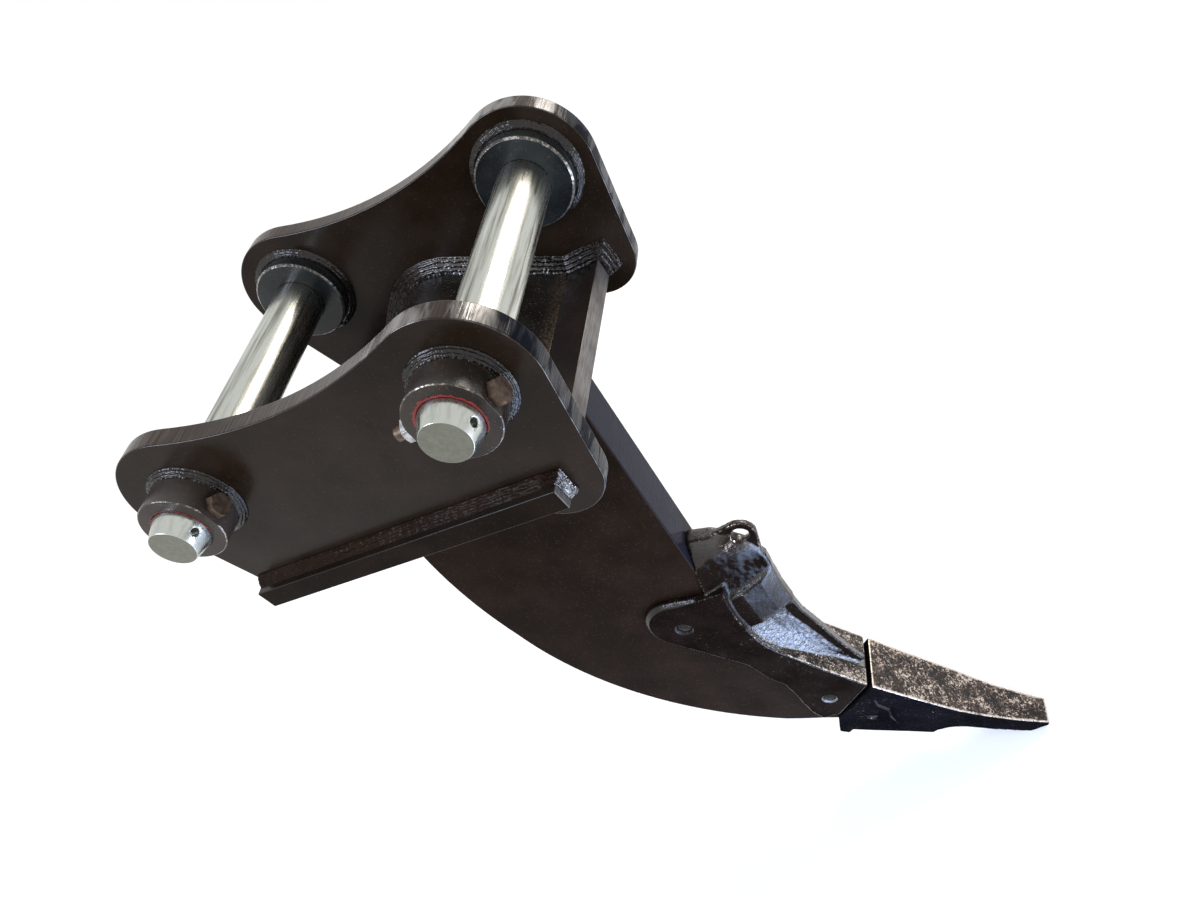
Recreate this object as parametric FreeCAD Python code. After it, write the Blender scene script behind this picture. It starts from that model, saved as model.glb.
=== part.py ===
import FreeCAD, Part
import math
import os

# Ripper for an excavator: a pinned head of welded plate, a curved plate shank,
# a cast protector with a lifting eye on the shank's front edge, and a cast tip.
# Millimetres. +X points to the tip's side, +Y along the head pins, +Z up.
# The origin is the centre of the rear head pin, midway between the side plates.

V = FreeCAD.Vector

# Head pins
PIN_DIA = 80.0
PIN_SPREAD = 463.0
PIN_DROP = 6.0            # the front pin sits this much lower than the rear one
PIN_FIT = 0.3             # radial clearance of each bore on its pin
PIN_TAPER = 30.7          # length of the tapered end outside the boss
PIN_NARROW = 8.4          # what the radius loses along the taper
PULL_HOLE_DIA = 11.0      # cross hole in the pin's near taper
PULL_HOLE_OUT = 14.0      # how far outside the boss it is drilled
PULL_HOLE_DEPTH = 18.0

# Side plates
PLATE_GAP = 432.0         # clear distance between the two side plates
PLATE_THICK = 32.0
REAR_LOBE_R = 109.0
FRONT_LOBE_R = 105.0
SADDLE_R = 645.0          # hollow arc between the lobes
NOSE_R = 65.0             # rounded front foot that hooks round the base plate
NOSE_BACK = 10.0          # its centre, back from the base plate's front end
NOSE_LOW = 7.0            # and below the base plate's top
FOOT_PAST = 2.0           # rear foot, past the base plate's rear end

# Base plate under the side plates
BASE_DROP = 174.0         # top face below the rear pin
BASE_THICK = 35.0
BASE_OVERHANG = 27.0      # outside each side plate
BASE_REAR = 61.0          # rear end, behind the rear pin
BASE_FRONT = 480.0        # front end, ahead of the rear pin

# Bent cover plate between the side plates
COVER_THICK = 20.0
COVER_CROWN_R = 103.0
COVER_CROWN_X = 205.0
COVER_CROWN_SINK = 2.0    # centre of the crown's arc below the base plate's top
COVER_FRONT_BACK = 58.0   # front foot, back from the base plate's front end
COVER_REAR_IN = 112.0     # rear foot, ahead of the base plate's rear end

# Pin bosses
BOSS_WALL = 18.8          # outer bosses, round the pin
BOSS_FACE = 22.0          # from the retaining bolt's axis to the boss face
COLLAR_WALL = 34.2        # inner bosses, round the pin
COLLAR_LONG = 28.7
COLLAR_CHAMFER = 3.0
BOSS_CHAMFER = 1.5
BOSS_FLAT = 2.8           # depth of the flat that each retaining bolt seats on

# Retaining bolts across the near bosses
BOLT_DIA = 20.0
BOLT_FIT = 0.3
HEAD_PAST = 5.0           # each flat of the head reaches this far past the stem
HEAD_HIGH = 12.5
HEAD_CLEAR = 0.7          # between the head's corners and the boss weld
NUT_HIGH = 16.0
BOLT_PAST_NUT = 15.0
REAR_BOLT_IN = 14.0       # the rear bolt ends this far past its pin's centre

# Fillet welds, each as (leg on the side plate, leg away from it)
BOSS_WELD = (9.0, 12.0)
COLLAR_WELD = (11.0, 9.0)
OUTER_SEAM = (14.0, 16.0)
INNER_SEAM = (25.0, 14.0)
SHANK_WELD = 20.0

# Shank. Its points are (distance ahead of the front edge's top, depth under the base plate)
SHANK_THICK = 80.0
SHANK_FRONT_X = 440.0     # top of the front edge
SHANK_LEAN = 0.096        # the front edge falls back by this share of its depth
SHANK_REAR = [(-443, 0), (-469, 213), ((-479, 351), (-466, 506)), ((-378, 768), (-51, 1038)), (-20, 1053)]
SHANK_BEND_DEPTH = 583.0
SHANK_BEND = ((-52, 668), (-30, 735))
SHANK_SLOPE = [(38, 850), (68, 898)]
NOSE = [(158, 1052), (122, 1112), (-3, 1078)]
NOSE_END_THICK = 56.0
CAST_FIT = 0.4            # side clearance of the castings on the shank

# Protector casting
CHEEK_WALL = 16.0
CHEEK_BEVEL = 8.0         # round the wing's edge
WING_R = 70.0
WING_AT = (-139, 586)
WING_TOP = (-62, 522)
HORN = (-20, 519)
LIP = [((-32, 586), (-32, 658)), ((-23, 711), (-3, 751)), (40, 826)]
LIP_HALF = 49.4
CHEEK_FRONT_LONG = 127.0  # front edge of each cheek, along the joint with the tip
CHEEK_REAR = [(-36, 1004), (-46, 978), (-50, 931), (-49, 891), (-54, 848), (-74, 811), (-84, 769)]

# Sections of the protector's ridge from the rear: root and crest, half widths there, and
# how far the sides swell out between them (or hollow in, below zero)
RIDGE = [((-52, 416), (-34, 411.5), 16, 15, 0),
         ((-54, 436), (6, 418), 28, 12, 2),
         ((-46, 459), (34, 437), 42, 10, 3),
         ((-54, 496), (57, 468), 46, 10, 2),
         ((-60, 534), (69, 506), 48, 8, 0),
         ((-58, 556), (66, 537), LIP_HALF, 8, 0),
         ((-56, 562), (64, 545), LIP_HALF, 8, 13),
         ((-56, 605), (58.5, 599), LIP_HALF, 8, 15),
         ((-52, 650), (57, 645), LIP_HALF, 8, 12),
         ((-50, 658), (56, 653), LIP_HALF, 8, -4),
         ((-38, 706), (56, 693), LIP_HALF, 8, -9),
         ((-12, 756), (67, 748), 45.4, 8, -9),
         ((16, 806), (76, 806), 35.6, 8, -6),
         ((46, 856), (89, 865), 20.8, 7.2, -3),
         ((68, 892), (100, 900), 9.6, 6.4, 0)]

# Lifting eye on the ridge
EYE_AT = (52, 439)
EYE_R = 29.0
EYE_HOLE_DIA = 30.0
EYE_THICK = 12.0
EYE_FEET = ((7, 420), (67, 494))
EYE_ROOT = (22, 466)

# Tip casting
TIP_GAP = 10.0            # open joint between protector and tip
TIP_REAR = ((101, 918), (-12, 1026))
TIP_TOP = [((192, 1049), (245, 1119)), ((290, 1170), (360, 1232))]
TIP_UNDER = [(355, 1244), (317, 1254), (210, 1174), ((172, 1168), (136, 1183))]
TIP_HEEL = [(-12, 1113), (-26, 1125), (-42, 1112)]
TIP_MID_IN = 7.9          # narrowing of each side at mid length
TIP_END_IN = 28.4         # and at the end
TIP_RAIL = 15.0           # depth of the full-width rail under the top
TIP_KEEL_HALF = 34.0
TIP_DRAFT = 0.16          # the sides widen by this share of the height over the keel
POCKET_DRAFT = 0.106      # and by this much in the pocket ahead of the pad
PAD_EDGE = [(86, 1200), (86, 1062), (95, 1025), (82, 998), (84, 972), (100, 925)]
STEP_BACK = 12.0          # groove across the top, ahead of the rear edge
STEP_WIDE = 3.0
STEP_DEEP = 1.5

# Lock pins of the castings
WING_PIN_DIA = 26.0
WING_PIN_AT = (-140, 596)
CHEEK_PIN_DIA = 22.0
CHEEK_PIN_AT = (6, 934)
TIP_PIN_DIA = 20.0
TIP_PIN_AT = (53, 1055)
LOCK_FIT = 0.3
LOCK_SINK = 3.0           # pin ends lie this far below the casting's face
LOCK_RECESS = 4.0         # the recess round each pin end is this much wider
LOCK_DOME = 2.0           # height of the pins' domed ends

# Places worked out from the sizes above
PIN_R = PIN_DIA / 2
BORE_R = PIN_R + PIN_FIT
BOSS_R = PIN_R + BOSS_WALL
COLLAR_R = PIN_R + COLLAR_WALL
REAR_PIN = (0.0, 0.0)
FRONT_PIN = (PIN_SPREAD, -PIN_DROP)
Y_IN = PLATE_GAP / 2
Y_OUT = Y_IN + PLATE_THICK
HEAD_AF = BOLT_DIA + 2 * HEAD_PAST
Y_BOLT = Y_OUT + BOSS_WELD[1] + HEAD_CLEAR + HEAD_AF / math.sqrt(3)
Y_BOSS = Y_BOLT + BOSS_FACE
Z_BASE = -BASE_DROP
Z_UNDER = Z_BASE - BASE_THICK
SHANK_HALF = SHANK_THICK / 2
CAST_HALF = SHANK_HALF + CAST_FIT
CHEEK_HALF = CAST_HALF + CHEEK_WALL
BEYOND = 2 * (BASE_FRONT + BASE_REAR)


def at(point, y=0.0):
    return V(point[0], y, point[1])


def is_arc(item):
    return isinstance(item[0], tuple)


def below(item):
    """Turns a point or an arc from the shank's own measures into (x, z)."""
    if is_arc(item):
        return tuple(below(p) for p in item)
    return (SHANK_FRONT_X + item[0], Z_UNDER - item[1])


def outline_face(points, y):
    """Flat face with its outline in the XZ plane; an arc is (point on the way, end)."""
    edges = []
    here = points[0]
    for item in points[1:] + [points[0]]:
        end = item[1] if is_arc(item) else item
        if here == end:
            continue
        if is_arc(item):
            edges.append(Part.Arc(at(here, y), at(item[0], y), at(end, y)).toShape())
        else:
            edges.append(Part.makeLine(at(here, y), at(end, y)))
        here = end
    return Part.Face(Part.Wire(edges))


def slab(points, half):
    return outline_face(points, -half).extrude(V(0, 2 * half, 0))


def rod(centre, radius, y_from, y_to):
    return Part.makeCylinder(radius, y_to - y_from, at(centre, y_from), V(0, 1, 0))


def circle_point(centre, radius, angle):
    return (centre[0] + radius * math.cos(angle), centre[1] + radius * math.sin(angle))


def direction(start, end):
    return math.atan2(end[1] - start[1], end[0] - start[0])


def tangent_angle(centre, radius, point, side):
    """Angle at which a line from the point touches the circle."""
    return direction(centre, point) + side * math.acos(radius / math.dist(centre, point))


def mirrored(shape):
    return shape.mirror(V(0, 0, 0), V(0, 1, 0))


def export(name, shape):
    shape.exportStep("parts/" + name + ".step")


def side_plate_outline():
    rear, front = REAR_PIN, FRONT_PIN
    nose = (BASE_FRONT - NOSE_BACK, Z_BASE - NOSE_LOW)
    # the hollow arc touches both lobes from outside
    r1, r2 = SADDLE_R + REAR_LOBE_R, SADDLE_R + FRONT_LOBE_R
    span = math.dist(rear, front)
    along = (r1 * r1 - r2 * r2 + span * span) / (2 * span)
    tilt = direction(rear, front)
    saddle = circle_point(rear, r1, tilt + math.acos(along / r1))
    a_rear, a_front = direction(rear, saddle), direction(front, saddle)
    rear_top = circle_point(rear, REAR_LOBE_R, a_rear)
    front_top = circle_point(front, FRONT_LOBE_R, a_front)
    saddle_low = circle_point(saddle, SADDLE_R, -math.pi / 2)
    # the front edge is the common tangent of the front lobe and the nose
    lean = direction(front, nose) + math.acos((FRONT_LOBE_R - NOSE_R) / math.dist(front, nose))
    front_round = circle_point(front, FRONT_LOBE_R, (lean + a_front) / 2)
    # the nose hooks under the base plate
    hook_x = nose[0] - math.sqrt(NOSE_R ** 2 - (nose[1] - Z_UNDER) ** 2)
    # the rear edge runs from the foot to the rear lobe
    foot = (-BASE_REAR - FOOT_PAST, Z_BASE)
    back = tangent_angle(rear, REAR_LOBE_R, foot, -1)
    rear_round = circle_point(rear, REAR_LOBE_R, (back + 2 * math.pi + a_rear) / 2)
    return [foot, circle_point(rear, REAR_LOBE_R, back), (rear_round, rear_top),
            (saddle_low, front_top), (front_round, circle_point(front, FRONT_LOBE_R, lean)),
            circle_point(nose, NOSE_R, lean), (circle_point(nose, NOSE_R, -math.pi / 2), (hook_x, Z_UNDER)),
            (BASE_FRONT, Z_UNDER), (BASE_FRONT, Z_BASE)]


def side_plate():
    plate = outline_face(side_plate_outline(), Y_IN).extrude(V(0, PLATE_THICK, 0))
    for pin in (REAR_PIN, FRONT_PIN):
        plate = plate.cut(rod(pin, BORE_R, Y_IN, Y_OUT))
    return plate


def base_plate():
    half = Y_OUT + BASE_OVERHANG
    return Part.makeBox(BASE_FRONT + BASE_REAR, 2 * half, BASE_THICK, V(-BASE_REAR, -half, Z_UNDER))


def cover_frame():
    """Centre of the crown, the two feet, and the angles where the slopes touch the crown."""
    crown = (COVER_CROWN_X, Z_BASE - COVER_CROWN_SINK)
    front_foot = (BASE_FRONT - COVER_FRONT_BACK, Z_BASE)
    rear_foot = (-BASE_REAR + COVER_REAR_IN, Z_BASE)
    return (crown, front_foot, rear_foot, tangent_angle(crown, COVER_CROWN_R, front_foot, 1),
            tangent_angle(crown, COVER_CROWN_R, rear_foot, -1) % (2 * math.pi))


def cover_plate():
    crown, front_foot, rear_foot, a_front, a_rear = cover_frame()
    inner_r = COVER_CROWN_R - COVER_THICK
    a_top = (a_front + a_rear) / 2
    inset_front = COVER_THICK / math.cos(a_front)
    inset_rear = COVER_THICK / -math.cos(a_rear)
    profile = [front_foot, circle_point(crown, COVER_CROWN_R, a_front),
               (circle_point(crown, COVER_CROWN_R, a_top), circle_point(crown, COVER_CROWN_R, a_rear)),
               rear_foot, (rear_foot[0] + inset_rear, Z_BASE), circle_point(crown, inner_r, a_rear),
               (circle_point(crown, inner_r, a_top), circle_point(crown, inner_r, a_front)),
               (front_foot[0] - inset_front, Z_BASE)]
    return slab(profile, Y_IN)


def bolt_seats(through):
    return (1, -1) if through else (1,)


def outer_boss(pin):
    boss = rod(pin, BOSS_R, Y_OUT, Y_BOSS)
    rim = [e for e in boss.Edges if e.BoundBox.YMin > Y_BOLT]
    return boss.makeChamfer(BOSS_CHAMFER, rim).cut(rod(pin, BORE_R, Y_OUT, Y_BOSS))


def bolted_boss(pin, through):
    """Near boss with the flats and the hole for its retaining bolt."""
    boss = mirrored(outer_boss(pin))
    seat = BOSS_R - BOSS_FLAT
    for side in bolt_seats(through):
        corner = V(pin[0] + (seat if side > 0 else -BOSS_R), -Y_BOSS, pin[1] - BOSS_R)
        flat = Part.makeBox(BOSS_FLAT, Y_BOSS - Y_OUT - BOSS_WELD[1], 2 * BOSS_R, corner)
        boss = boss.cut(flat)
    start = -BOSS_R if through else 0.0
    hole = Part.makeCylinder(BOLT_DIA / 2 + BOLT_FIT, BOSS_R - start,
                             V(pin[0] + start, -Y_BOLT, pin[1]), V(1, 0, 0))
    return boss.cut(hole)


def collar(pin):
    """Boss on the inside of a side plate."""
    boss = rod(pin, COLLAR_R, Y_IN - COLLAR_LONG, Y_IN)
    rim = [e for e in boss.Edges if e.BoundBox.YMax < Y_IN - COLLAR_LONG / 2]
    return boss.makeChamfer(COLLAR_CHAMFER, rim).cut(rod(pin, BORE_R, Y_IN - COLLAR_LONG, Y_IN))


def head_pin(pin, through):
    """Straight pin with tapered ends, cross drilled for its retaining bolt."""
    y_end = Y_BOSS + PIN_TAPER
    end_r = PIN_R - PIN_NARROW
    half = [V(0, -y_end, 0), V(end_r, -y_end, 0), V(PIN_R, -Y_BOSS, 0),
            V(PIN_R, Y_BOSS, 0), V(end_r, y_end, 0), V(0, y_end, 0)]
    body = Part.Face(Part.makePolygon(half + [half[0]])).revolve(V(0, 0, 0), V(0, 1, 0), 360)
    body.translate(at(pin))
    reach = PIN_DIA if through else PIN_R + REAR_BOLT_IN
    bolt_hole = Part.makeCylinder(BOLT_DIA / 2 + BOLT_FIT, reach,
                                  V(pin[0] + PIN_R - reach, -Y_BOLT, pin[1]), V(1, 0, 0))
    pull_hole = Part.makeCylinder(PULL_HOLE_DIA / 2, PIN_R,
                                  V(pin[0] + PIN_R - PULL_HOLE_DEPTH, -Y_BOSS - PULL_HOLE_OUT, pin[1]), V(1, 0, 0))
    return body.cut(bolt_hole).cut(pull_hole)


def hexagon(height, seat, side):
    """Hexagonal head or nut along X with its outer corners turned off."""
    corner_r = HEAD_AF / math.sqrt(3)
    corners = [V(0, corner_r * math.sin(math.radians(60 * i)), corner_r * math.cos(math.radians(60 * i)))
               for i in range(6)]
    prism = Part.Face(Part.makePolygon(corners + [corners[0]])).extrude(V(side * height, 0, 0))
    reach = height / math.tan(math.radians(30))
    cone = Part.makeCone(HEAD_AF / 2 + reach, HEAD_AF / 2, height, V(0, 0, 0), V(side, 0, 0))
    head = prism.common(cone)
    head.translate(seat)
    return head


def bolt_seat(pin, side):
    return V(pin[0] + side * (BOSS_R - BOSS_FLAT), -Y_BOLT, pin[1])


def retaining_bolt(pin, through):
    seat = bolt_seat(pin, 1)
    length = 2 * (BOSS_R - BOSS_FLAT) + NUT_HIGH + BOLT_PAST_NUT if through else BOSS_R - BOSS_FLAT + REAR_BOLT_IN
    stem = Part.makeCylinder(BOLT_DIA / 2, length, seat, V(-1, 0, 0))
    return hexagon(HEAD_HIGH, seat, 1).fuse(stem).removeSplitter()


def retaining_nut(pin):
    seat = bolt_seat(pin, -1)
    return hexagon(NUT_HIGH, seat, -1).cut(Part.makeCylinder(BOLT_DIA / 2, NUT_HIGH, seat, V(-1, 0, 0)))


def ring_weld(pin, radius, legs, y_plate, side):
    """Fillet round a boss, on the side plate's face."""
    section = [V(radius, y_plate, 0), V(radius + legs[0], y_plate, 0), V(radius, y_plate + side * legs[1], 0)]
    ring = Part.Face(Part.makePolygon(section + [section[0]])).revolve(V(0, 0, 0), V(0, 1, 0), 360)
    ring.translate(at(pin))
    return ring


def seam_weld(path, legs, y_plate, side):
    """Fillet on a side plate's face, to the left of a path along the plates that meet it."""
    sections = []
    for i, point in enumerate(path):
        before, after = path[max(i - 1, 0)], path[min(i + 1, len(path) - 1)]
        turn = 0.0
        heading = direction(before, after)
        if 0 < i < len(path) - 1:
            heading = direction(before, point)
            turn = (direction(point, after) - heading + math.pi) % (2 * math.pi) - math.pi
        toe = circle_point(point, legs[0] / math.cos(turn / 2), heading + turn / 2 + math.pi / 2)
        corners = [at(point, y_plate), at(toe, y_plate), at(point, y_plate + side * legs[1])]
        sections.append(Part.makePolygon(corners + [corners[0]]))
    return Part.makeLoft(sections, True, True).cut(cover_plate())


def outer_seam_path():
    return [(-BASE_REAR, Z_BASE), (BASE_FRONT, Z_BASE), (BASE_FRONT, Z_UNDER)]


def inner_seam_path():
    crown, front_foot, rear_foot, a_front, a_rear = cover_frame()
    steps = 8
    arc = [circle_point(crown, COVER_CROWN_R, a_rear + (a_front - a_rear) * i / steps) for i in range(steps + 1)]
    return [rear_foot] + arc + [front_foot, (BASE_FRONT, Z_BASE), (BASE_FRONT, Z_UNDER)]


def front_edge(depth):
    return (-SHANK_LEAN * depth, depth)


def shank_outline():
    front = [NOSE[2], NOSE[1], NOSE[0], SHANK_SLOPE[1], SHANK_SLOPE[0], SHANK_BEND[1],
             (SHANK_BEND[0], front_edge(SHANK_BEND_DEPTH)), front_edge(0)]
    return [below(p) for p in SHANK_REAR + front]


def nose_wedge(half_start, half_end):
    """Narrows the shank's nose from the joint to its end."""
    start, end = at(below(SHANK_SLOPE[1])), at(below(NOSE[0]))
    along = end - start
    reach = along.Length
    along.normalize()
    across = V(along.z, 0, -along.x)
    slope = (half_start - half_end) / reach
    plan = [(-BEYOND, half_start), (0, half_start), (2 * reach, half_start - 2 * reach * slope)]
    near = [start + along * s + V(0, -h, 0) - across * BEYOND for s, h in plan]
    far = [start + along * s + V(0, h, 0) - across * BEYOND for s, h in reversed(plan)]
    loop = near + far
    return Part.Face(Part.makePolygon(loop + [loop[0]])).extrude(across * (2 * BEYOND))


def shank_body(half, end_half):
    return slab(shank_outline(), half).common(nose_wedge(half, end_half))


def shank_space():
    """Room that the castings leave for the shank and its nose."""
    return shank_body(CAST_HALF, NOSE_END_THICK / 2 + CAST_FIT)


def shank_weld():
    """Fillet all round the shank's top, under the base plate."""
    loops = []
    for depth, grow in ((0.0, SHANK_WELD), (SHANK_WELD, 0.0)):
        rear = SHANK_FRONT_X + SHANK_REAR[0][0] - grow
        front = SHANK_FRONT_X + front_edge(depth)[0] + grow
        half = SHANK_HALF + grow
        z = Z_UNDER - depth
        corners = [V(rear, -half, z), V(front, -half, z), V(front, half, z), V(rear, half, z)]
        loops.append(Part.makePolygon(corners + [corners[0]]))
    return Part.makeLoft(loops, True, True).cut(slab(shank_outline(), SHANK_HALF))


def joint_line():
    """The protector's front edge: its top corner and the unit steps along it and towards the tip."""
    top, low = below(TIP_REAR[0]), below(TIP_REAR[1])
    long = math.dist(top, low)
    along = ((low[0] - top[0]) / long, (low[1] - top[1]) / long)
    ahead = (-along[1], along[0])
    return (top[0] - TIP_GAP * ahead[0], top[1] - TIP_GAP * ahead[1]), along, ahead


def cheeks():
    """Side walls of the protector with its wing and front lands, as one block."""
    wing, rear = below(WING_AT), [below(p) for p in CHEEK_REAR]
    front_top, along, ahead = joint_line()
    front_low = (front_top[0] + CHEEK_FRONT_LONG * along[0], front_top[1] + CHEEK_FRONT_LONG * along[1])
    a_low = tangent_angle(wing, WING_R, rear[-1], -1) % (2 * math.pi)
    a_top = tangent_angle(wing, WING_R, below(WING_TOP), 1) % (2 * math.pi)
    points = ([circle_point(wing, WING_R, a_top), below(WING_TOP)] + [below(p) for p in [HORN] + LIP]
              + [front_top, front_low] + rear + [circle_point(wing, WING_R, a_low)])
    block = slab(points + [(circle_point(wing, WING_R, (a_low + a_top) / 2), points[0])], CHEEK_HALF)
    edges = [e for e in block.Edges if e.BoundBox.YLength < CHEEK_BEVEL
             and e.BoundBox.XMin < wing[0] and e.BoundBox.XMax < below(WING_TOP)[0] + CHEEK_BEVEL]
    return block.makeChamfer(CHEEK_BEVEL, edges)


def ridge_section(root, crest, root_half, crest_half, swell):
    """Closed section across the protector, from inside the shank out to the crest."""
    sides = []
    for share, part in ((0.0, 0.0), (0.45, 1.0), (0.8, 0.9), (1.0, 0.0)):
        place = tuple(root[i] + (crest[i] - root[i]) * share for i in (0, 1))
        half = root_half + (crest_half - root_half) * share + swell * part
        sides.append((below(place), half))
    corners = [at(p, -half) for p, half in sides] + [at(p, half) for p, half in reversed(sides)]
    return Part.makePolygon(corners + [corners[0]])


def ridge():
    return Part.makeLoft([ridge_section(*row) for row in RIDGE], True, True)


def lifting_eye():
    centre = below(EYE_AT)
    rear, front = below(EYE_FEET[0]), below(EYE_FEET[1])
    a_rear = tangent_angle(centre, EYE_R, rear, -1)
    a_front = tangent_angle(centre, EYE_R, front, 1)
    points = [rear, circle_point(centre, EYE_R, a_rear),
              (circle_point(centre, EYE_R, (a_rear + a_front) / 2), circle_point(centre, EYE_R, a_front)),
              front, below(EYE_ROOT)]
    return slab(points, EYE_THICK / 2)


def lock_places():
    """Place, diameter and half length of each lock pin's hole."""
    tip_half = keel_half(TIP_PIN_AT, TIP_DRAFT)
    return {"wing": (WING_PIN_AT, WING_PIN_DIA, CHEEK_HALF), "cheek": (CHEEK_PIN_AT, CHEEK_PIN_DIA, CHEEK_HALF),
            "tip": (TIP_PIN_AT, TIP_PIN_DIA, tip_half)}


def lock_holes(shape, names):
    """Pin holes through the shank or a casting."""
    for name in names:
        place, dia, half = lock_places()[name]
        shape = shape.cut(rod(below(place), dia / 2 + LOCK_FIT, -BEYOND, BEYOND))
    return shape


def lock_recesses(shape, names):
    for name in names:
        place, dia, half = lock_places()[name]
        for y_from, y_to in ((-BEYOND, -half + LOCK_SINK), (half - LOCK_SINK, BEYOND)):
            shape = shape.cut(rod(below(place), dia / 2 + LOCK_RECESS, y_from, y_to))
    return shape


def lock_pin(name):
    """Pin with domed ends that lie just below the casting's faces."""
    place, dia, half = lock_places()[name]
    top, r = half - LOCK_SINK, dia / 2
    edge = top - LOCK_DOME
    dome_r = (r * r + LOCK_DOME * LOCK_DOME) / (2 * LOCK_DOME)
    side = dome_r * math.sin(math.asin(r / dome_r) / 2)
    rise = top - dome_r + math.sqrt(dome_r ** 2 - side ** 2)
    outline = [Part.Arc(V(0, -top, 0), V(side, -rise, 0), V(r, -edge, 0)).toShape(),
               Part.makeLine(V(r, -edge, 0), V(r, edge, 0)),
               Part.Arc(V(r, edge, 0), V(side, rise, 0), V(0, top, 0)).toShape(),
               Part.makeLine(V(0, top, 0), V(0, -top, 0))]
    pin = Part.Face(Part.Wire(outline)).revolve(V(0, 0, 0), V(0, 1, 0), 360)
    pin.translate(at(below(place)))
    return pin


def protector():
    body = cheeks().fuse(ridge()).fuse(lifting_eye())
    body = body.cut(rod(below(EYE_AT), EYE_HOLE_DIA / 2, -EYE_THICK, EYE_THICK))
    top, along, ahead = joint_line()
    corners = []
    for s, out in ((-BEYOND, 0), (BEYOND, 0), (BEYOND, BEYOND), (-BEYOND, BEYOND)):
        corners.append((top[0] + along[0] * s + ahead[0] * out, top[1] + along[1] * s + ahead[1] * out))
    body = body.cut(slab(corners, CHEEK_HALF + CHEEK_WALL)).cut(shank_space())
    return lock_holes(lock_recesses(body, ("wing", "cheek")), ("wing", "cheek"))


def tip_outline():
    points = [TIP_REAR[0]] + TIP_TOP + TIP_UNDER + TIP_HEEL + [TIP_REAR[1]]
    return [below(p) for p in points]


def keel_line():
    """Start of the tip's bottom edge, and unit steps along and up from it."""
    start, end = below(TIP_HEEL[0]), below(TIP_UNDER[-1][1])
    long = math.dist(start, end)
    return start, ((end[0] - start[0]) / long, (end[1] - start[1]) / long)


def keel_half(place, draft):
    """Half width of the drafted tip at a point."""
    start, along = keel_line()
    p = below(place)
    height = -(p[0] - start[0]) * along[1] + (p[1] - start[1]) * along[0]
    return TIP_KEEL_HALF + draft * height


def keel_wedge(draft):
    """Solid that widens upwards from the keel's width."""
    start, along = keel_line()
    origin, run = at(start), V(along[0], 0, along[1])
    up = V(-along[1], 0, along[0])
    sides = [(-BEYOND, TIP_KEEL_HALF), (0, TIP_KEEL_HALF), (BEYOND, TIP_KEEL_HALF + draft * BEYOND)]
    loop = [origin - run * BEYOND + up * height + V(0, -half, 0) for height, half in sides]
    loop += [origin - run * BEYOND + up * height + V(0, half, 0) for height, half in reversed(sides)]
    return Part.Face(Part.makePolygon(loop + [loop[0]])).extrude(run * (2 * BEYOND))


def tip_plan():
    """Solid that narrows the tip in plan, from its rear edge to its end."""
    rear, end = at(below(TIP_REAR[0])), at(below(TIP_TOP[-1][1]))
    along = end - rear
    length = along.Length
    along.normalize()
    across = V(along.z, 0, -along.x)
    ahead = SHANK_HALF
    end_half = CHEEK_HALF - TIP_END_IN
    lean = 2 * (TIP_END_IN - TIP_MID_IN) / length
    plan = [(-BEYOND, CHEEK_HALF), (0, CHEEK_HALF), (length / 2, CHEEK_HALF - TIP_MID_IN),
            (length, end_half), (length + ahead, end_half - ahead * lean)]
    near = [rear + along * s + V(0, -h, 0) - across * BEYOND for s, h in plan]
    far = [rear + along * s + V(0, h, 0) - across * BEYOND for s, h in reversed(plan)]
    loop = near + far
    return Part.Face(Part.makePolygon(loop + [loop[0]])).extrude(across * (2 * BEYOND))


def tip():
    blank = slab(tip_outline(), CHEEK_HALF)
    body = blank.common(tip_plan()).common(keel_wedge(TIP_DRAFT))
    top, bend = at(below(TIP_REAR[0])), at(below(TIP_TOP[0][0]))
    along = bend - top
    along.normalize()
    inward = V(along.z, 0, -along.x)
    # the sides are recessed below the full-width rail and ahead of the pad round the lock pin
    under_rail = blank.copy()
    under_rail.translate(inward * TIP_RAIL)
    last, first = PAD_EDGE[-1], PAD_EDGE[0]
    ahead_of_pad = slab([below(p) for p in PAD_EDGE + [(last[0] + BEYOND, last[1]), (first[0] + BEYOND, first[1])]],
                        CHEEK_HALF)
    body = body.cut(under_rail.common(ahead_of_pad).cut(keel_wedge(POCKET_DRAFT)))
    # groove across the top, one step ahead of the rear edge
    corners = [top + along * s + inward * d for s, d in (
        (STEP_BACK, STEP_DEEP), (STEP_BACK + STEP_WIDE, STEP_DEEP),
        (STEP_BACK + STEP_WIDE, -STEP_DEEP), (STEP_BACK, -STEP_DEEP))]
    body = body.cut(slab([(c.x, c.z) for c in corners], CHEEK_HALF)).cut(shank_space())
    return lock_holes(lock_recesses(body, ["tip"]), ["tip"])


os.makedirs("parts", exist_ok=True)
plate = side_plate()
export("side_plate_left", plate)
export("side_plate_right", mirrored(plate))
export("base_plate", base_plate())
export("cover_plate", cover_plate())
for name, pin, through in (("rear", REAR_PIN, False), ("front", FRONT_PIN, True)):
    export(name + "_outer_boss_left", outer_boss(pin))
    export(name + "_outer_boss_right", bolted_boss(pin, through))
    export(name + "_inner_boss_left", collar(pin))
    export(name + "_inner_boss_right", mirrored(collar(pin)))
    export(name + "_pin", head_pin(pin, through))
    export(name + "_retaining_bolt", retaining_bolt(pin, through))
    for side_name, side in (("left", 1), ("right", -1)):
        export(name + "_outer_boss_weld_" + side_name, ring_weld(pin, BOSS_R, BOSS_WELD, side * Y_OUT, side))
        export(name + "_inner_boss_weld_" + side_name, ring_weld(pin, COLLAR_R, COLLAR_WELD, side * Y_IN, -side))
export("front_retaining_nut", retaining_nut(FRONT_PIN))
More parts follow.
